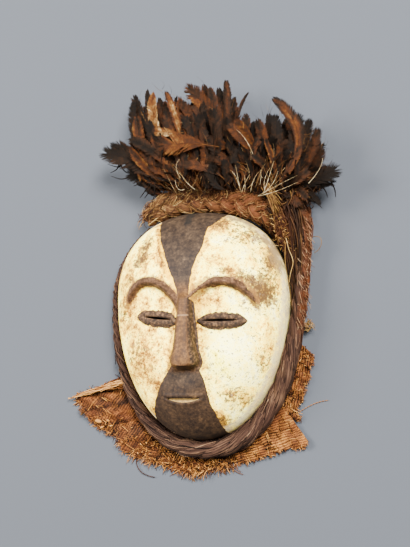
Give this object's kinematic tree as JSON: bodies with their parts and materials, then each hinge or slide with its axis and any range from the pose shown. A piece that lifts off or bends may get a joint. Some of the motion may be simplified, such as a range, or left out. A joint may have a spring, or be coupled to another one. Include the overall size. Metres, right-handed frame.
{
  "type": "dance mask",
  "caption": "Hollow carved and painted wooden face mask with pierced eye slits, a rope rim, a plaited fibre headband, torn woven cloth and a crest of cock feathers.",
  "frame": {"origin": "on the floor under the middle of the whole mask's box; the mask lies on the back of its wooden rim, face up", "axes": "+Z out of the face, +Y towards the forehead and the crest, +X to the right of someone who looks at the face"},
  "size_m": [0.387, 0.523, 0.1082],
  "materials": {
    "painted_wood": "matt, white kaolin and dark brown paint, worn",
    "dark_fibre": "twisted plant fibre, dark brown",
    "plaited_raffia": "plaited raffia, reddish brown",
    "straw_fibre": "loose raffia, straw-coloured",
    "raffia_cloth": "coarse plain weave, frayed",
    "feather": "cock feathers, russet to black, soft sheen",
    "black_feather": "cock feather, black-brown, soft sheen"
  },
  "bodies": {
    "root": {"carved_face": "painted_wood", "rim_rope": "dark_fibre", "crown_plait": "plaited_raffia", "side_fibre_bundle": "straw_fibre", "cloth_flap_left": "raffia_cloth", "cloth_fringe_chin": "raffia_cloth", "cloth_flap_right": "raffia_cloth", "cloth_strip_side": "raffia_cloth", "feathers_back": "feather", "feathers_middle": "feather", "feathers_front": "feather", "sickle_feather": "feather", "black_feather_left": "black_feather", "black_feather_right": "black_feather"}
  },
  "joints": []
}
